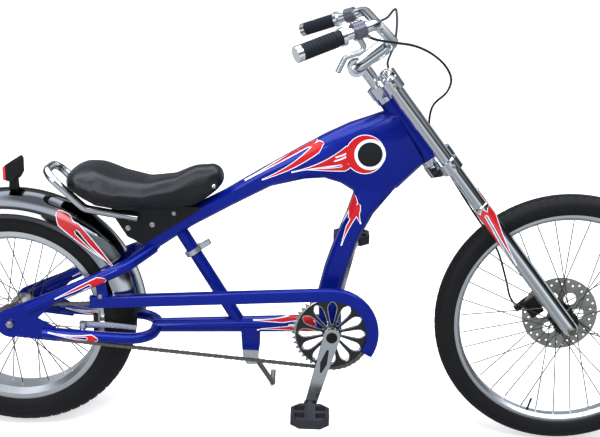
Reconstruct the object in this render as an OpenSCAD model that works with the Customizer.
// Chopper bicycle with a pressed spine frame, a double-crown fork and a fat rear tyre.
// It leans to its left on a side stand. X runs forward, Y to the left and Z up.

/* [Stance] */
// lean to the left on the side stand, degrees
lean = 8; // [5:0.5:12]
// angle of the fork above the horizontal, degrees
head_angle = 51.3; // [48:0.1:56]
// distance of the fork legs ahead of the steering axis
fork_offset = 28; // [22:1:36]

/* [Rear wheel] */
// height of the rear tyre above the rim's edge
rear_tyre_h = 68.5; // [60:0.5:76]
// radius of the rear tyre's round section
rear_sec = 49; // [44:0.5:52]
// radius of the rear rim's outer edge
rear_rim_r = 209.5; // [205:0.5:215]
// half the width of the rear rim
rear_rim_w = 42.5; // [38:0.5:44]
// depth of the rear rim
rear_rim_depth = 22; // [16:1:30]

/* [Front wheel] */
// height of the front tyre above the rim's edge
front_tyre_h = 44; // [38:0.5:50]
// radius of the front tyre's round section
front_sec = 28; // [24:0.5:32]
// radius of the front rim's outer edge
front_rim_r = 260; // [255:0.5:265]
// half the width of the front rim
front_rim_w = 16; // [13:0.5:20]
// depth of the front rim
front_rim_depth = 15; // [10:1:22]
// radius of the brake disc
rotor_r = 90; // [70:1:100]

/* [Wheel centres] */
// radius of the wheel axles
axle_r = 5; // [4:0.25:7]
// running clearance round shafts
running = 0.05; // [0.02:0.01:0.1]
// radius of one spoke
spoke_r = 1; // [0.8:0.1:1.5]
// spokes in a wheel
spoke_count = 36; // [24:4:48]
// turn of a spoke's hub end from its rim end, degrees
spoke_cross = 50; // [30:1:60]

/* [Frame] */
// height of the crank axle
bb_z = 274; // [260:1:300]
// distance of the crank axle ahead of the rear axle
bb_x = 742; // [700:1:800]
// outer radius of the crank axle's shell
bb_shell_r = 24; // [20:0.5:28]
// half the width of the crank axle's shell
bb_shell_w = 50; // [40:1:54]
// outer radius of the head tube
head_r = 21; // [18:0.5:25]
// distance of the head tube's lower end ahead of the rear axle
head_x = 950; // [920:1:980]
// height of the head tube's lower end
head_z = 683; // [665:1:700]
// length of the head tube
head_len = 164; // [140:1:180]
// radius of the steering tube
steerer_r = 14.3; // [12:0.1:16]
// radius of the stays that run up to the saddle
stay_r = 14; // [11:0.5:16]
// radius of the stays beside the chain
chain_stay_r = 13; // [10:0.5:15]
// distance of the stays from the middle of the bicycle
stay_y = 80; // [78:0.5:84]
// thickness of a dropout plate
dropout_t = 7; // [5:0.5:9]
// radius of the strut under the saddle
strut_r = 15; // [12:0.5:18]

/* [Drive] */
// teeth on the chainring
ring_teeth = 44; // [40:1:46]
// teeth on the rear sprocket
cog_teeth = 18; // [14:1:22]
// pitch of the chain
chain_pitch = 12.7; // [12.7]
// distance of the chain from the middle of the bicycle
chain_y = 62; // [58:0.5:66]
// length of a crank from axle to pedal
crank_len = 178; // [150:1:180]
// crank angle behind straight down, degrees
crank_turn = 14.5; // [0:0.5:90]
// radius of the crank axle
spindle_r = 8.5; // [7:0.25:10]
// radius of the black cover disc
cover_r = 83; // [78:0.5:84]
// windows in the cover disc
window_count = 12; // [8:1:16]
// distance of the crank arms' inner faces from the middle
crank_y = 82; // [80:0.5:90]
// thickness of a crank arm
crank_t = 13; // [10:0.5:16]

/* [Fork] */
// distance of the fork legs from the middle
leg_y = 62; // [58:0.5:70]
// radius of the upper leg
leg_r = 16; // [14:0.5:18]
// radius of the lower leg
slider_r = 18; // [16:0.5:20]
// length of the lower leg above the axle
slider_len = 360; // [300:1:400]
// thickness of a crown
crown_t = 26; // [20:1:32]

/* [Handlebar] */
// radius of the handlebar tube
bar_r = 11.1; // [10:0.1:13]
// radius of a grip
grip_r = 16; // [14:0.5:18]
// distance of a grip's outer end behind the bar's clamp
grip_back = 127; // [90:1:150]
// distance of a grip's outer end from the middle
grip_half = 320; // [300:1:340]
// height of a grip's outer end above the bar's clamp
grip_up = 55; // [30:1:70]

/* [Stand] */
// radius of the stand's leg
stand_r = 6.5; // [5:0.5:9]
// angle of the stand's leg ahead of straight down, degrees
stand_rake = 12.5; // [6:0.5:20]
// slope of the stand's swing plane, degrees
stand_splay = 45; // [35:1:50]

/* [Hidden] */
$fn = 64;

blue = [0.02, 0.05, 0.55];
chrome = [0.85, 0.86, 0.88];
silver = [0.72, 0.73, 0.75];
steel = [0.5, 0.51, 0.53];
black = [0.03, 0.03, 0.035];
grey = [0.2, 0.2, 0.22];
red = [0.75, 0.02, 0.03];

rear_r = rear_rim_r + rear_tyre_h;
front_r = front_rim_r + front_tyre_h;
// Height that a leaning round tyre loses, made up so that both tyres touch the floor
lean_gain = 1 / cos(lean) - 1;
front_z = front_r + (front_sec - rear_sec) * lean_gain;
floor_lift = rear_sec * (1 - cos(lean));
// Distance from the front axle up the fork to the head tube, and the wheelbase that follows
head_low = (head_z - front_z + fork_offset * cos(head_angle)) / sin(head_angle);
wheelbase = head_x + fork_offset * sin(head_angle) + head_low * cos(head_angle);

// Place beside the fork: ahead of the legs' plane, across, and up from the front axle
function on_fork(x, y, s) = [
    wheelbase + x * sin(head_angle) - s * cos(head_angle), y,
    front_z + x * cos(head_angle) + s * sin(head_angle)
];

module parked() {
    translate([-origin_x, -origin_y, floor_lift])
        rotate([-lean, 0, 0])
            children();
}

// Places a shape with its Z axis up the fork from the front axle and X ahead of it
module along_fork() {
    translate([wheelbase, 0, front_z])
        rotate([0, head_angle - 90, 0])
            children();
}

// Turns a shape that stands on Z so that Z points to the right
module facing_right() {
    rotate([90, 0, 0])
        children();
}

// Extrudes a side view, drawn in X and Z, from y_low to y_high
module side_view(y_low, y_high) {
    translate([0, y_high, 0])
        facing_right()
            linear_extrude(y_high - y_low)
                children();
}

module cross_rod(x, z, y_low, y_high, r) {
    side_view(y_low, y_high)
        translate([x, z])
            circle(r);
}

module rod(from, to, r, r_end) {
    d = to - from;
    translate(from)
        rotate([0, acos(d[2] / norm(d)), atan2(d[1], d[0])])
            cylinder(h = norm(d), r1 = r, r2 = is_undef(r_end) ? r : r_end);
}

function unit(v) = v / norm(v);
function turn_between(a, b) = acos(max(-1, min(1, a * b)));

// Points of a round bend at a corner, from direction a to direction b
bend_steps = 6;

function corner_arc(corner, a, b, bend) =
    let (
        turn = turn_between(a, b),
        inward = unit(b - a * (a * b)),
        centre = corner - a * bend * tan(turn / 2) + inward * bend
    )
    [for (k = [0:bend_steps]) centre + bend * (a * sin(turn * k / bend_steps) - inward * cos(turn * k / bend_steps))];

// Points of a path whose corners are rounded
function rounded_path(points, bend) =
    let (last = len(points) - 1)
    concat(
        [points[0]],
        [for (i = [1:last - 1])
            each corner_arc(points[i], unit(points[i] - points[i - 1]), unit(points[i + 1] - points[i]), bend)],
        [points[last]]
    );

// Path that runs on through its own mirror image
function mirrored_path(points) = concat(
    points,
    [for (i = [len(points) - 1:-1:0]) [points[i][0], -points[i][1], points[i][2]]]
);

// Side directions carried along a path without twist
function carried(side, along) = unit(side - along * (side * along));
function sides_along(dirs, side, i = 0) =
    i == len(dirs) ? [] : concat([carried(side, dirs[i])], sides_along(dirs, carried(side, dirs[i]), i + 1));

// Round tube swept along its points
module swept_tube(points, r, facets) {
    last = len(points) - 1;
    dirs = [for (i = [0:last]) unit(points[min(i + 1, last)] - points[max(i - 1, 0)])];
    sides = sides_along(dirs, abs(dirs[0][2]) < 0.8 ? [0, 0, 1] : [1, 0, 0]);
    skin([
        for (i = [0:last])
        let (v = cross(sides[i], dirs[i]))
        [for (k = [0:facets - 1]) points[i] + r * (cos(k * 360 / facets) * sides[i] + sin(k * 360 / facets) * v)]
    ]);
}

tube_facets = 20;

// Tube of straight runs with a round bend at each corner
module bent_tube(points, r, bend) {
    swept_tube(rounded_path(points, bend), r, tube_facets);
}

module both_sides() {
    children();
    mirror([0, 1, 0])
        children();
}

// Skin over a row of rings with equal point counts
module skin(rings) {
    count = len(rings[0]);
    last = len(rings) - 1;
    points = [for (ring = rings) each ring];
    sides = [
        for (i = [0:last - 1], j = [0:count - 1])
        let (a = i * count + j, b = i * count + (j + 1) % count)
        each [[a, b, b + count], [a, b + count, a + count]]
    ];
    first_end = [for (j = [count - 1:-1:0]) j];
    last_end = [for (j = [0:count - 1]) last * count + j];
    polyhedron(points, concat([first_end], sides, [last_end]), convexity = 6);
}

// Frame

// Half outline of a pressed section: share of the depth from the top, share of the half width
pressed_half = [[0, 0.3], [0.06, 0.68], [0.24, 1], [0.8, 1], [0.95, 0.72], [1, 0.35]];
pressed_ring = concat(
    [for (p = pressed_half) p],
    [for (i = [len(pressed_half) - 1:-1:0]) [pressed_half[i][0], -pressed_half[i][1]]]
);

// One ring between a top and a bottom point of the side view
function pressed_section(top_x, top_z, low_x, low_z, half_w) = [
    for (p = pressed_ring)
    [top_x + (low_x - top_x) * p[0], half_w * p[1], top_z + (low_z - top_z) * p[0]]
];

// The spine runs from the saddle's joint to the head tube's lower end
spine_rear = [304, 455];
head_side = [head_x, head_z];
bb_side = [bb_x, bb_z];
function between(a, b, share) = a + share * (b - a);

// Columns: share of the way, then ahead and up from there to the ridge, ahead and up to the lower edge, half width
spine_table = [
    [0, -12, 17, 12, -17, 24],
    [0.15, -11, 51, 12, 17, 25],
    [0.3, -12, 69, 10, 37, 26],
    [0.43, -12, 92, 10, 53, 28],
    [0.56, -11, 114, 2, 43, 31],
    [0.64, -5, 129, -5, 29, 33],
    [0.7, 10, 142, -6, 5, 34],
    [0.77, 11, 143, -1, -41, 34],
    [0.87, -16, 135, 14, -41, 32],
    [0.94, -49, 123, 27, 3, 26]
];

module spine_loft() {
    skin([
        for (row = spine_table)
        let (at = between(spine_rear, head_side, row[0]))
        pressed_section(at[0] + row[1], at[1] + row[2], at[0] + row[3], at[1] + row[4], row[5])
    ]);
}

// Columns: share of the way from the crank axle to the head tube, ahead of there to the rear and front faces, half width
down_table = [
    [0.9, -172, -30, 30],
    [0.79, -125, -41, 28],
    [0.67, -115, -53, 25],
    [0.5, -106, -52, 22],
    [0.35, -94, -40, 22],
    [0.2, -76, -23, 22],
    [0.035, -38, 16, 22]
];

module down_loft() {
    skin([
        for (row = down_table)
        let (at = between(bb_side, head_side, row[0]))
        pressed_section(at[0] + row[2], at[1], at[0] + row[1], at[1], row[3])
    ]);
}

module head_cylinder(r, low, high) {
    along_fork()
        translate([-fork_offset, 0, low])
            cylinder(h = high - low, r = r);
}

bb_point = [bb_x, 0, bb_z];
lower_rear = [318, 0, 253];
lower_rear_r = 16.5;
lower_front_r = 21;

module lower_cone() {
    rod(lower_rear, bb_point, lower_rear_r, lower_front_r);
}

module bb_cylinder(r, half) {
    cross_rod(bb_x, bb_z, -half, half, r);
}

module backbone() {
    color(blue)
        difference() {
            union() {
                spine_loft();
                down_loft();
            }
            head_cylinder(head_r, head_low - 60, head_low + head_len + 60);
            // room for the cups at both ends
            for (low = cup_lows)
                head_cylinder(cup_r + seat_gap, low - cup_h, low + cup_h);
            bb_cylinder(bb_shell_r, bb_shell_w + 1);
            lower_cone();
        }
}

module head_tube() {
    color(blue)
        difference() {
            head_cylinder(head_r, head_low, head_low + head_len);
            head_cylinder(head_r - 4, head_low - 1, head_low + head_len + 1);
        }
}

cup_h = 14;
cup_r = 24;
cup_lows = [head_low - cup_h, head_low + head_len];

module headset_cups() {
    color(chrome)
        for (low = cup_lows)
            difference() {
                head_cylinder(cup_r, low, low + cup_h);
                head_cylinder(steerer_r + running, low - 1, low + cup_h + 1);
            }
}

stand_x = 552;
stand_z = 178;
bracket_w = 22;

module lower_tube() {
    color(blue)
        difference() {
            union() {
                lower_cone();
                bb_cylinder(bb_shell_r, bb_shell_w);
                side_view(-bracket_w, bracket_w)
                    polygon([[528, 262], [572, 262], [572, 206], [532, 206]]);
            }
            bb_cylinder(spindle_r + running, bb_shell_w + 1);
        }
}

strut_side = between(spine_rear, head_side, 0.13) + [-8, 13];
strut_top = [strut_side[0], 0, strut_side[1]];
strut_low = [526, 0, 264];
strut_dir = (strut_low - strut_top) / norm(strut_low - strut_top);

module seat_strut() {
    color(blue)
        difference() {
            rod(strut_top, strut_low, strut_r);
            spine_loft();
            lower_cone();
        }
}

clamp_at = 58;
clamp_t = 12;
clamp_r = 22;

module strut_clamp() {
    low = strut_top + strut_dir * clamp_at;
    color(silver)
        difference() {
            union() {
                rod(low, low + strut_dir * clamp_t, clamp_r);
                translate(low)
                    rotate([0, acos(strut_dir[2]), atan2(strut_dir[1], strut_dir[0])])
                        translate([-clamp_r - 22, -9, 0])
                            cube([clamp_r + 10, 18, clamp_t]);
            }
            rod(strut_top, strut_low, strut_r);
        }
}

// Centre line of a stay on the left, from the spine to the dropout
stay_knee = [266, 422];
stay_foot = [115, rear_r + 73];
stay_path = [
    [322, 14, 452], [stay_knee[0], stay_y, stay_knee[1]], [stay_foot[0], stay_y, stay_foot[1]], [40, stay_y, rear_r + 36]
];
// Height of the stay's centre line between its two bends
function stay_height(x) = lookup(x, [stay_foot, stay_knee]);

stay_bend = 60;

module stay_tube() {
    bent_tube(stay_path, stay_r, stay_bend);
}

module dropout_view() {
    translate([0, rear_r]) {
        circle(34);
        polygon([[-16, 30], [40, 55], [96, 79], [104, 54], [62, 14], [104, -8], [104, -40], [20, -32]]);
    }
}

module dropout_plate() {
    side_view(stay_y - dropout_t / 2, stay_y + dropout_t / 2)
        dropout_view();
}

module seat_stays() {
    color(blue)
        both_sides()
            difference() {
                union() {
                    stay_tube();
                    dropout_plate();
                }
                spine_loft();
                cross_rod(0, rear_r, 0, 2 * stay_y, axle_r);
            }
}

// Centre line of a chain stay on the left, from the dropout round the tyre
chain_stay_path = [[74, stay_y, rear_r - 21], [lower_rear[0] + 6, stay_y, lower_rear[2] - 6]];
chain_stay_bend = 60;

module chain_stay_tube() {
    bent_tube(mirrored_path(chain_stay_path), chain_stay_r, chain_stay_bend);
}

module chain_stays() {
    color(blue)
        difference() {
            chain_stay_tube();
            both_sides()
                dropout_plate();
            lower_cone();
        }
}

// Saddle and tail

seat_base_z = 555;
seat_gap = 0.3;
seat_plate_w = 28;

module seat_bracket() {
    color(black)
        difference() {
            side_view(-seat_plate_w, seat_plate_w)
                polygon([
                    [264, 480], [300, 462], [430, 548], [430, seat_base_z], [225, seat_base_z], [238, 520]
                ]);
            spine_loft();
            both_sides()
                stay_tube();
        }
}

// Half outline of a cushion section: share of the depth from the top, share of the half width
cushion_half = [[0, 0.2], [0.05, 0.55], [0.2, 0.85], [0.45, 1], [0.8, 0.97], [1, 0.8]];
cushion_ring = concat(
    [for (p = cushion_half) p],
    [for (i = [len(cushion_half) - 1:-1:0]) [cushion_half[i][0], -cushion_half[i][1]]]
);
saddle_low = seat_base_z + seat_gap;
// Columns: x, top z, bottom z, half width
saddle_table = [
    [126, 622, 606, 42],
    [138, 640, 598, 82],
    [160, 648, 586, 102],
    [200, 641, saddle_low + 10, 112],
    [250, 622, saddle_low, 108],
    [309, 611, saddle_low, 92],
    [370, 622, saddle_low, 72],
    [420, 648, saddle_low + 8, 56],
    [455, 659, 586, 45],
    [474, 652, 602, 34],
    [485, 636, 616, 16]
];

module saddle() {
    color(black)
        skin([
            for (s = saddle_table)
            [for (p = cushion_ring) [s[0], s[3] * p[1], s[1] + (s[2] - s[1]) * p[0]]]
        ]);
}

rail_r = 9.5;
rail_y = seat_plate_w + rail_r;
rail_path = [[290, rail_y, 528], [172, rail_y + 8, 548], [84, rail_y + 14, 632]];
rail_bend = 30;

module grab_rail() {
    color(chrome)
        bent_tube(mirrored_path(rail_path), rail_r, rail_bend);
}

fender_in = rear_sec + 7;
fender_c = rear_r - rear_sec + 16;
fender_t = 2.5;
fender_front = 9;
fender_sweep = 141;
fender_boss_r = 6;
fender_boss_turn = 29.8;
fender_boss = [fender_c * cos(fender_boss_turn), rear_r + fender_c * sin(fender_boss_turn)];

module fender_section() {
    intersection() {
        difference() {
            translate([fender_c, 0])
                circle(fender_in + fender_t);
            translate([fender_c, 0])
                circle(fender_in);
        }
        translate([fender_c, -100])
            square([100, 200]);
    }
}

module rear_fender() {
    color(chrome) {
        translate([0, 0, rear_r])
            facing_right()
                rotate([0, 0, fender_front])
                    rotate_extrude(angle = fender_sweep)
                        fender_section();
        both_sides()
            difference() {
                cross_rod(fender_boss[0], fender_boss[1], fender_in + 1, stay_y, fender_boss_r);
                stay_tube();
            }
    }
}

lamp_foot = [0, rear_r + fender_c + fender_in];
lamp_half = 32;

module tail_light() {
    color(black)
        difference() {
            union() {
                side_view(-lamp_half, lamp_half)
                    translate(lamp_foot)
                        polygon([[-10, 25], [6, 21], [14, 35], [14, 67], [9, 73], [-10, 61]]);
                side_view(-12, 12)
                    translate(lamp_foot)
                        polygon([[-10, -4], [8, -4], [6, 27], [-8, 27]]);
            }
            translate([0, 0, rear_r])
                facing_right()
                    rotate_extrude()
                        translate([fender_c, 0])
                            circle(fender_in + fender_t);
        }
}

module tail_lens() {
    color(red)
        side_view(-lamp_half, lamp_half)
            translate(lamp_foot)
                polygon([[-10, 25], [-10, 61], [-16, 55], [-16, 27]]);
}

// Rear wheel

nut_r = 9;
nut_h = 8;

module rear_axle() {
    end = stay_y + dropout_t / 2;
    color(steel) {
        cross_rod(0, rear_r, -end - nut_h - 5, end + nut_h + 5, axle_r);
        both_sides()
            difference() {
                side_view(end, end + nut_h)
                    translate([0, rear_r])
                        circle(nut_r, $fn = 6);
                cross_rod(0, rear_r, end - 1, end + nut_h + 1, axle_r);
            }
    }
}

module wheel_turn(x, z) {
    translate([x, 0, z])
        facing_right()
            rotate_extrude()
                children();
}

// Section of a rim: a box that narrows inwards, with a lip outside each tyre wall
rim_lip = 3;

module rim_section(r, half, depth) {
    polygon([
        [r, -half + rim_lip], [r, half - rim_lip], [r + rim_lip, half - rim_lip], [r + rim_lip, half],
        [r - depth * 0.55, half], [r - depth, half * 0.6], [r - depth, -half * 0.6],
        [r - depth * 0.55, -half], [r + rim_lip, -half], [r + rim_lip, -half + rim_lip]
    ]);
}

module tyre_section(r, sec, rim_r, rim_half, depth) {
    difference() {
        translate([r - sec, 0])
            circle(sec);
        translate([0, -100])
            square([rim_r, 200]);
        rim_section(rim_r, rim_half, depth);
    }
}

module rear_tyre() {
    color(black)
        wheel_turn(0, rear_r)
            tyre_section(rear_r, rear_sec, rear_rim_r, rear_rim_w, rear_rim_depth);
}

module rear_rim() {
    color(silver)
        wheel_turn(0, rear_r)
            rim_section(rear_rim_r, rear_rim_w, rear_rim_depth);
}

flange_t = 4;
rear_flange_r = 33;
rear_flange_y = 30;
rear_hub_w = stay_y - dropout_t / 2 - 1;

function pitch_r(teeth) = chain_pitch / (2 * sin(180 / teeth));
ring_pr = pitch_r(ring_teeth);
cog_pr = pitch_r(cog_teeth);
tooth_high = 3.6;
tooth_low = 4.2;
tooth_t = 2.4;

// Toothed disc in a plane: four points for each tooth
module toothed_view(teeth) {
    r = pitch_r(teeth);
    step = 360 / teeth;
    polygon([
        for (i = [0:teeth - 1], p = [[-0.5, -tooth_low], [-0.22, -1], [-0.08, tooth_high],
            [0.08, tooth_high], [0.22, -1]])
        (r + p[1]) * [cos((i + p[0]) * step), sin((i + p[0]) * step)]
    ]);
}

module rear_hub() {
    color(steel)
        difference() {
            union() {
                cross_rod(0, rear_r, -rear_hub_w, rear_hub_w, 11);
                cross_rod(0, rear_r, -rear_flange_y, rear_flange_y, 19);
                for (y = [-rear_flange_y, rear_flange_y])
                    cross_rod(0, rear_r, y - flange_t / 2, y + flange_t / 2, rear_flange_r);
                cross_rod(0, rear_r, -chain_y - 4, -rear_flange_y, 24);
                side_view(-chain_y - tooth_t / 2, -chain_y + tooth_t / 2)
                    translate([0, rear_r])
                        toothed_view(cog_teeth);
            }
            cross_rod(0, rear_r, -100, 100, axle_r + running);
        }
}

// Laced spokes between two flanges and a rim, the two lacings a little apart
module spokes(flange_r, flange_y, rim_r, rim_y) {
    lace_gap = 1.7;
    for (i = [0:spoke_count - 1]) {
        side = i % 2 == 0 ? 1 : -1;
        turn = floor(i / 2) % 2 == 0 ? 1 : -1;
        a = i * 360 / spoke_count;
        b = a + turn * spoke_cross;
        hub_y = side * (flange_y + turn * lace_gap);
        rod(
            [flange_r * cos(b), hub_y, flange_r * sin(b)],
            [rim_r * cos(a), side * (rim_y + turn * lace_gap), rim_r * sin(a)],
            spoke_r
        );
    }
}

module rear_spokes() {
    color(steel)
        translate([0, 0, rear_r])
            spokes(rear_flange_r - 4, rear_flange_y, rear_rim_r - rear_rim_depth + 1, 14);
}

// Rear brake

brake_z = rear_r - 5;
brake_arm_y = rear_sec + 11;
brake_arm_t = 7;
pad_x = rear_rim_r - 13.5;
boss_x = pad_x - 32;
arm_end_x = rear_r + 8;

module rear_brake() {
    color(silver)
        both_sides()
            difference() {
                union() {
                    side_view(brake_arm_y - brake_arm_t / 2, brake_arm_y + brake_arm_t / 2)
                        polygon([
                            [boss_x - 8, brake_z - 8], [boss_x + 60, brake_z - 5], [arm_end_x, brake_z - 9],
                            [arm_end_x + 4, brake_z + 2], [boss_x + 60, brake_z + 8], [boss_x - 8, brake_z + 8]
                        ]);
                    rod([boss_x, brake_arm_y + 8, brake_z - 8], [boss_x, brake_arm_y + 8, brake_z + 8], 8);
                    rod([boss_x, stay_y - 4, brake_z - 23], [boss_x, brake_arm_y + 9, brake_z], 5);
                }
                chain_stay_tube();
            }
}

module brake_pads() {
    color(black)
        both_sides()
            side_view(rear_rim_w + 5, brake_arm_y - brake_arm_t / 2)
                translate([pad_x - 10, brake_z - 24])
                    square([10, 48]);
}

// Drive

guard_t = 2;
guard_out = 20;
guard_web = 76;
guard_flange = fender_in + fender_t + 3;
guard_h = 28;

// Angle of the upper chain run and the tangent points' distance
run_len = sqrt(bb_x * bb_x + (bb_z - rear_r) * (bb_z - rear_r));
run_slope = atan2(bb_z - rear_r, bb_x);
run_open = asin((ring_pr - cog_pr) / run_len);
run_up = run_slope + run_open;
run_down = run_slope - run_open;
run_straight = run_len * cos(run_open);

// Height of the upper chain run
function chain_height(x) = rear_r + cog_pr / cos(run_up) + x * tan(run_up);

guard_start = 190;
guard_end = -28;
guard_steps = 24;

// Line along the chain guard at a distance from the chain, carried past both ends by a spare length
function guard_line(out, spare) = concat(
    [bb_side + (ring_pr + out) * [-sin(run_up), cos(run_up)]
        - (run_straight - guard_start + spare) * [cos(run_up), sin(run_up)]],
    [for (k = [0:guard_steps])
        let (angle = 90 + run_up + (guard_end - 90 - run_up) * k / guard_steps)
        bb_side + (ring_pr + out) * [cos(angle), sin(angle)]],
    [bb_side + (ring_pr + out) * [cos(guard_end), sin(guard_end)] + spare * [sin(guard_end), -cos(guard_end)]]
);

// Band between two such lines
module guard_band(low, high, spare) {
    low_line = guard_line(low, spare);
    polygon(concat(guard_line(high, spare), [for (i = [len(low_line) - 1:-1:0]) low_line[i]]));
}

module chain_guard() {
    color(blue) {
        difference() {
            side_view(-guard_web, -guard_flange)
                guard_band(guard_out - guard_h, guard_out, 4);
            side_view(-guard_web + guard_t, -guard_flange + 1)
                guard_band(guard_out - guard_h - 2, guard_out - guard_t, 6);
        }
        // tab from the stay to the guard's rear end
        difference() {
            side_view(-guard_web + 0.5, -guard_web + 3.5)
                polygon([
                    [204, chain_height(204) - 5], [232, chain_height(232) - 5], [216, stay_height(216) + 3],
                    [196, stay_height(196) + 3]
                ]);
            mirror([0, 1, 0])
                stay_tube();
        }
    }
}

plate_half = 4.3;
plate_t = 1;
plate_gap = 1.7;
roller_r = 3.9;

// Outline round both toothed wheels at a distance from the chain's pitch line
ring_steps = 44;
cog_steps = 24;

module loop_view(out) {
    polygon(concat(
        [for (k = [0:ring_steps])
            let (angle = run_down - 90 + (180 + 2 * run_open) * k / ring_steps)
            bb_side + (ring_pr + out) * [cos(angle), sin(angle)]],
        [for (k = [0:cog_steps])
            let (angle = run_up + 90 + (180 - 2 * run_open) * k / cog_steps)
            [0, rear_r] + (cog_pr + out) * [cos(angle), sin(angle)]]
    ));
}

module chain() {
    color(steel) {
        for (y = [-chain_y - plate_gap - plate_t, -chain_y + plate_gap])
            side_view(y, y + plate_t)
                difference() {
                    loop_view(plate_half);
                    loop_view(-plate_half);
                }
        // rollers along the two straight runs, clear of both toothed wheels
        for (s = [-1, 1], k = [4:floor(run_straight / chain_pitch) - 4])
            translate([bb_x, 0, bb_z])
                rotate([0, -(s > 0 ? run_up : run_down), 0])
                    translate([-k * chain_pitch, 0, s * ring_pr])
                        cross_rod(0, 0, -chain_y - plate_gap - plate_t / 2, -chain_y + plate_gap + plate_t / 2, roller_r);
    }
}

crank_end = crank_y + crank_t;
pedal_pin = 6;
pedal_pin_len = 85;
crank_dir = [-sin(crank_turn), 0, -cos(crank_turn)];
pedal_right_at = bb_point + crank_dir * crank_len;
pedal_left_at = bb_point - crank_dir * crank_len;

// Side view of an arm that hangs down from the crank axle
module arm_view() {
    circle(20);
    translate([0, -crank_len])
        circle(15);
    polygon([[-19, -8], [-16, -70], [-12.5, -crank_len], [12.5, -crank_len], [16, -70], [19, -8]]);
}

// Drop-shaped pocket below the arm's eye
module pocket_view() {
    translate([0, -66])
        circle(8);
    translate([0, -34])
        circle(3);
    polygon([[-3, -34], [-8, -66], [8, -66], [3, -34]]);
    translate([0, -88])
        circle(2.5);
    polygon([[-8, -66], [-2.5, -88], [2.5, -88], [8, -66]]);
}

pocket = 3;

// Arm with its pocket on the outer face, which is at the end of its extrusion
module crank_arm() {
    difference() {
        side_view(-crank_end, -crank_y)
            arm_view();
        side_view(-crank_end - 1, -crank_end + pocket)
            pocket_view();
    }
}

module cranks() {
    color(silver) {
        bb_cylinder(spindle_r, crank_y + 1);
        cross_rod(bb_x, bb_z, -crank_y - 1, -chain_y - tooth_t / 2 - 4, 18);
        translate(bb_point)
            rotate([0, crank_turn, 0])
                crank_arm();
        translate(bb_point)
            rotate([0, crank_turn, 0])
                rotate([180, 0, 0])
                    crank_arm();
        cross_rod(pedal_right_at[0], pedal_right_at[2], -crank_end - pedal_pin_len, -crank_y - 1, pedal_pin);
        cross_rod(pedal_left_at[0], pedal_left_at[2], crank_y + 1, crank_end + pedal_pin_len, pedal_pin);
    }
}

cover_t = 4;
cover_out = chain_y + tooth_t / 2;

module chainring() {
    color(steel)
        side_view(-cover_out, -chain_y + tooth_t / 2)
            translate([bb_x, bb_z])
                difference() {
                    rotate(-crank_turn)
                        toothed_view(ring_teeth);
                    circle(cover_r - 8);
                }
}

// Drop-shaped window that points to the middle
module window_view() {
    polygon([
        [26, -4], [52, -9], [62, -10.5], [68, -9.5], [77, -3], [77, 3], [68, 9.5], [62, 10.5], [52, 9], [26, 4]
    ]);
    translate([26, 0])
        circle(4);
}

module cover_disc() {
    color(black)
        difference() {
            side_view(-cover_out - cover_t, -cover_out)
                translate([bb_x, bb_z])
                    rotate(-crank_turn)
                        difference() {
                            circle(cover_r);
                            for (i = [0:window_count - 1])
                                rotate((i + 0.5) * 360 / window_count)
                                    window_view();
                        }
            cross_rod(bb_x, bb_z, -cover_out - cover_t - 1, -cover_out + 1, 18);
        }
}

pedal_w = 84;
pedal_l = 88;
pedal_h = 22;

// Top view of a platform pedal: cut corners, and windows each side of the axle
pedal_corner = 20;
pedal_rim = 9;

module pedal_view() {
    x = pedal_l / 2;
    y = pedal_w / 2;
    difference() {
        polygon([
            [-x, -y + pedal_corner], [-x + pedal_corner, -y], [x - pedal_corner, -y], [x, -y + pedal_corner],
            [x, y - pedal_corner], [x - pedal_corner, y], [-x + pedal_corner, y], [-x, y - pedal_corner]
        ]);
        for (side = [-1, 1], end = [-1, 1])
            translate([side * (x / 2 + 2), end * (y / 2 - 3)])
                square([x - pedal_rim - 12, y - pedal_rim - 10], center = true);
    }
}

// Pedal of the left side, with a blind bore for its pin
module pedal() {
    middle = crank_end + pedal_gap + pedal_w / 2;
    difference() {
        union() {
            translate([0, middle, -pedal_h / 2])
                linear_extrude(pedal_h)
                    pedal_view();
            cross_rod(0, 0, crank_end + 1, middle, pedal_pin + 4);
        }
        // waist along both long sides
        for (x = [-pedal_l / 2, pedal_l / 2])
            translate([x, middle, 0])
                cube([6, pedal_w - 2 * pedal_corner - 10, pedal_h - 10], center = true);
        cross_rod(0, 0, crank_end, crank_end + pedal_pin_len + 0.5, pedal_pin + running);
    }
}

pedal_gap = 9;

module pedal_right() {
    color(grey)
        translate([pedal_right_at[0], 0, pedal_right_at[2]])
            mirror([0, 1, 0])
                pedal();
}

module pedal_left() {
    color(grey)
        translate([pedal_left_at[0], 0, pedal_left_at[2]])
            pedal();
}

// Steering

crown_low = head_low - cup_h - 1 - crown_t;
crown_high = head_low + head_len + cup_h + 1;
crown_boss = 24;
// Hole in the lower crown for the front brake cable: ahead and across
cable_hole = [-10, 36];
cable_r = 2.5;

module crown_view() {
    translate([-fork_offset, 0])
        circle(crown_boss + 2);
    for (y = [-leg_y, leg_y])
        translate([0, y])
            circle(crown_boss);
    polygon([
        [-fork_offset - 18, -20], [-14, -leg_y - 18], [16, -leg_y - 14], [10, 0], [16, leg_y + 14],
        [-14, leg_y + 18], [-fork_offset - 18, 20]
    ]);
}

module leg_cut() {
    for (y = [-leg_y, leg_y])
        translate([0, y, 0])
            cylinder(h = crown_high + 2 * crown_t, r = leg_r);
}

module fork_crowns() {
    color(chrome)
        along_fork()
            union() {
                difference() {
                    for (s = [crown_low, crown_high])
                        translate([0, 0, s])
                            linear_extrude(crown_t)
                                crown_view();
                    leg_cut();
                    translate([cable_hole[0], cable_hole[1], crown_low - 1])
                        cylinder(h = crown_t + 2, r = cable_r + 1);
                }
                translate([-fork_offset, 0, crown_low])
                    cylinder(h = crown_high + crown_t - crown_low, r = steerer_r);
            }
}

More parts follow.
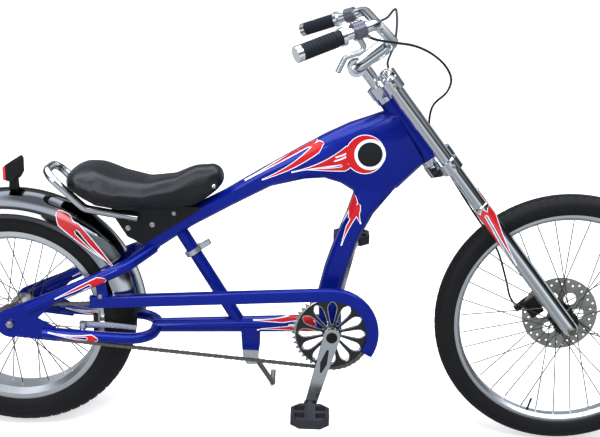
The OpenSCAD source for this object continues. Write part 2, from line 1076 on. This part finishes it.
module fork_legs() {
    color(chrome)
        difference() {
            along_fork()
                for (y = [-leg_y, leg_y])
                    translate([0, y, 0]) {
                        cylinder(h = crown_high + crown_t + 3, r = leg_r);
                        cylinder(h = slider_len, r = slider_r);
                        sphere(slider_r);
                    }
            cross_rod(wheelbase, front_z, -100, 100, axle_r);
        }
}

stem_top = crown_high + crown_t + 52;
stem_r = 14;
clamp_eye_r = 19;
clamp_eye_w = 24;
bar_local = [-fork_offset - 14, 0, stem_top + 6];

module stem() {
    color(chrome)
        along_fork()
            difference() {
                union() {
                    translate([-fork_offset, 0, crown_high + crown_t])
                        cylinder(h = stem_top - crown_high - crown_t, r = stem_r);
                    cross_rod(bar_local[0], bar_local[2], -clamp_eye_w, clamp_eye_w, clamp_eye_r);
                }
                cross_rod(bar_local[0], bar_local[2], -60, 60, bar_r);
            }
}

// Bar's middle in the bicycle's frame
bar_mid = on_fork(bar_local[0], 0, bar_local[2]);
grip_len = 97;
grip_out = bar_mid + [-grip_back, grip_half, grip_up];
bar_knee = bar_mid + [25, 245, 112];
bar_foot = bar_mid + [0, clamp_eye_w + 24, 0];
bar_bend = 28;
grip_dir = unit(bar_knee - grip_out);
bar_shoulder = bar_mid + [77, 70, 62];
bar_path = [grip_out + grip_dir * 3, bar_knee, bar_shoulder, bar_foot];
grip_in = grip_out + grip_dir * grip_len;
ring_h = 9;
cap_h = 12;

module handlebar() {
    color(chrome)
        bent_tube(mirrored_path(bar_path), bar_r, bar_bend);
    color(chrome)
        both_sides() {
            rod(grip_out, grip_out + grip_dir * cap_h, grip_r);
            rod(grip_in, grip_in + grip_dir * ring_h, grip_r + 2);
        }
}

rib_pitch = 7;
rib_count = 11;

module grips() {
    color(black)
        both_sides()
            difference() {
                union() {
                    rod(grip_out + grip_dir * cap_h, grip_in, grip_r - 1);
                    for (i = [0:rib_count - 1])
                        rod(
                            grip_out + grip_dir * (cap_h + 2 + i * rib_pitch),
                            grip_out + grip_dir * (cap_h + 6 + i * rib_pitch), grip_r
                        );
                }
                rod(grip_out, grip_in + grip_dir, bar_r);
            }
}

lever_at = grip_in + grip_dir * 30;

lever_end = lever_at + grip_dir * 24;
// Blade from under the bracket, forward, back under the bar and down to a hooked tip
lever_blade = [[10, -5, -8], [28, -20, -34], [-13, -5, -47], [-27, 3, -76]];

module brake_levers() {
    color(silver)
        both_sides()
            difference() {
                union() {
                    rod(lever_at, lever_at + grip_dir * 24, 17);
                    bent_tube([for (p = lever_blade) lever_at + p], 5.5, 10);
                }
                rod(grip_in, bar_knee, bar_r);
            }
}

module front_axle() {
    color(steel)
        cross_rod(wheelbase, front_z, -leg_y - slider_r - 6, leg_y + slider_r + 6, axle_r);
}

front_flange_r = 30;
front_flange_y = 24;
front_hub_w = leg_y - slider_r - 1;
rotor_y = 36;
rotor_t = 2;

// Caliper over the disc's rear edge, beside the left leg
caliper_at = [-42, 52];
caliper_gap = 2;

module front_caliper() {
    color(black)
        difference() {
            along_fork()
                union() {
                    translate([caliper_at[0] - 17, rotor_y - 6, caliper_at[1] - 22])
                        cube([34, 28, 44]);
                    translate([caliper_at[0], leg_y - 14, caliper_at[1] - 14])
                        cube([-caliper_at[0], 12, 28]);
                    translate([caliper_at[0] - 38, 43, caliper_at[1] + 8])
                        cube([24, 12, 14]);
                }
            side_view(rotor_y - caliper_gap, rotor_y + rotor_t + caliper_gap)
                translate([wheelbase, front_z])
                    circle(rotor_r + caliper_gap);
            along_fork()
                translate([0, leg_y, -50])
                    cylinder(h = 200, r = slider_r);
        }
}

cable_facets = 8;
cable_steps = 4;
// Start under the lever's bracket, beside the bar
cable_drop = unit([0, 0, -1] + grip_dir * grip_dir[2]) * (bar_r + cable_r + 0.6);
cable_out = lever_end + grip_dir * 0.1 + cable_drop;
// In a wide loop ahead of the bar, then between the legs, through the lower crown and down to the caliper
front_cable_path = concat(
    [[cable_out[0], -cable_out[1], cable_out[2]]],
    [for (p = [[31, -232, 80], [70, -185, 72], [115, -130, 62], [157, -82, 42], [191, -48, 14], [207, -34, -16],
        [200, -24, -46], [177, -12, -72]]) bar_mid + p],
    [
        on_fork(28, 10, crown_low + 118), on_fork(6, 28, crown_low + 86), on_fork(cable_hole[0], 35, crown_low + 54),
        on_fork(cable_hole[0], cable_hole[1], crown_low + crown_t), on_fork(cable_hole[0], cable_hole[1], crown_low),
        on_fork(-16, 39, crown_low - 38), on_fork(-23, 42, 330), on_fork(-28, 44, 228), on_fork(-54, 48, 146),
        on_fork(-71, 49, 104), on_fork(caliper_at[0] - 32, 49, caliper_at[1] + 22.1)
    ]
);
rear_cable_path = concat(
    [cable_out],
    [for (p = [[38, 232, 83], [73, 192, 97], [87, 142, 120], [90, 96, 120], [90, 60, 88], [84, 36, 48]])
        bar_mid + p],
    [on_fork(19, 18, crown_high + 48), on_fork(14.8, 14, crown_high + 24), on_fork(14.8, 14, crown_high + 4)]
);

// Point of a smooth curve through four points, between the second and the third
function curve_point(a, b, c, d, t) =
    0.5 * (2 * b + (c - a) * t + (2 * a - 5 * b + 4 * c - d) * t * t + (3 * b - a - 3 * c + d) * t * t * t);

function smooth_path(points) =
    let (last = len(points) - 1)
    concat(
        [for (i = [0:last - 1], k = [0:cable_steps - 1])
            curve_point(
                points[max(i - 1, 0)], points[i], points[i + 1], points[min(i + 2, last)], k / cable_steps
            )],
        [points[last]]
    );

module brake_cables() {
    color(black) {
        swept_tube(smooth_path(front_cable_path), cable_r, cable_facets);
        swept_tube(smooth_path(rear_cable_path), cable_r, cable_facets);
    }
}

// Front wheel

module front_tyre() {
    color(black)
        wheel_turn(wheelbase, front_z)
            tyre_section(front_r, front_sec, front_rim_r, front_rim_w, front_rim_depth);
}

module front_rim() {
    color(silver)
        wheel_turn(wheelbase, front_z)
            rim_section(front_rim_r, front_rim_w, front_rim_depth);
}

module front_hub() {
    color(steel)
        difference() {
            union() {
                cross_rod(wheelbase, front_z, -front_hub_w, front_hub_w, 9);
                cross_rod(wheelbase, front_z, -front_flange_y, front_flange_y, 14);
                for (y = [-front_flange_y, front_flange_y])
                    cross_rod(wheelbase, front_z, y - flange_t / 2, y + flange_t / 2, front_flange_r);
                cross_rod(wheelbase, front_z, front_flange_y, rotor_y, 24);
            }
            cross_rod(wheelbase, front_z, -100, 100, axle_r + running);
        }
}

module front_spokes() {
    color(steel)
        translate([wheelbase, 0, front_z])
            spokes(front_flange_r - 4, front_flange_y, front_rim_r - front_rim_depth + 1, 4);
}

rotor_holes = 36;

module front_rotor() {
    color(silver)
        side_view(rotor_y, rotor_y + rotor_t)
            translate([wheelbase, front_z])
                difference() {
                    circle(rotor_r);
                    circle(9);
                    for (i = [0:5])
                        rotate(i * 60)
                            translate([43, 0])
                                circle(15);
                    for (i = [0:rotor_holes - 1])
                        rotate(i * 360 / rotor_holes)
                            translate([rotor_r - 8 - 8 * (i % 2), 0])
                                circle(2.5);
                }
}

// Side stand

stand_at = [stand_x, 30, stand_z];

// Places a shape with Z along the stand's pivot and X forward in its swing plane
module stand_place() {
    translate(stand_at)
        rotate([-stand_splay, 0, 0])
            children();
}

stand_block_r = 15;

module stand_block() {
    color(silver)
        difference() {
            union() {
                side_view(-16, bracket_w - 2)
                    polygon([[532, 206], [572, 206], [570, 182], [560, 166], [544, 166], [534, 182]]);
                stand_place()
                    translate([0, 0, -26])
                        cylinder(h = 16, r = stand_block_r);
            }
            stand_place()
                translate([0, 0, -10])
                    cylinder(h = 60, r = 40);
        }
}

stand_angle = 90 - stand_rake;
stand_foot_r = stand_r + 1;
hook = 34;
// Direction of the leg, and the length that sets its round foot on the floor
stand_dir = [cos(stand_angle), sin(stand_angle) * cos(stand_splay), -sin(stand_angle) * sin(stand_splay)];
function floor_height(p) = p[2] * cos(lean) - p[1] * sin(lean);
stand_reach = (floor_height(stand_at) + floor_lift - stand_foot_r) / -floor_height(stand_dir);

module kickstand() {
    color(steel)
        stand_place()
            rotate([0, 0, stand_angle]) {
                translate([0, 0, -9])
                    cylinder(h = 16, r = 11);
                rod([0, 0, 0], [stand_reach, 0, 0], stand_r);
                translate([stand_reach, 0, 0])
                    sphere(stand_foot_r);
                rod([stand_reach, 0, 0], [stand_reach + 4, 0, hook], stand_r);
            }
}

// Origin on the floor under the middle of the bounding box
origin_x = (wheelbase + front_r - rear_r) / 2;
origin_y = grip_out[2] * sin(lean);

parked() backbone();
parked() head_tube();
parked() headset_cups();
parked() lower_tube();
parked() seat_strut();
parked() strut_clamp();
parked() seat_stays();
parked() chain_stays();
parked() seat_bracket();
parked() saddle();
parked() grab_rail();
parked() rear_fender();
parked() tail_light();
parked() tail_lens();
parked() rear_axle();
parked() rear_brake();
parked() brake_pads();
parked() chain_guard();
parked() chain();
parked() stand_block();
parked() kickstand();
parked() cranks();
parked() chainring();
parked() cover_disc();
parked() pedal_right();
parked() pedal_left();
parked() fork_crowns();
parked() fork_legs();
parked() stem();
parked() handlebar();
parked() grips();
parked() brake_levers();
parked() front_caliper();
parked() front_axle();
parked() brake_cables();
parked() front_tyre();
parked() front_rim();
parked() front_hub();
parked() front_spokes();
parked() front_rotor();
parked() rear_tyre();
parked() rear_rim();
parked() rear_hub();
parked() rear_spokes();
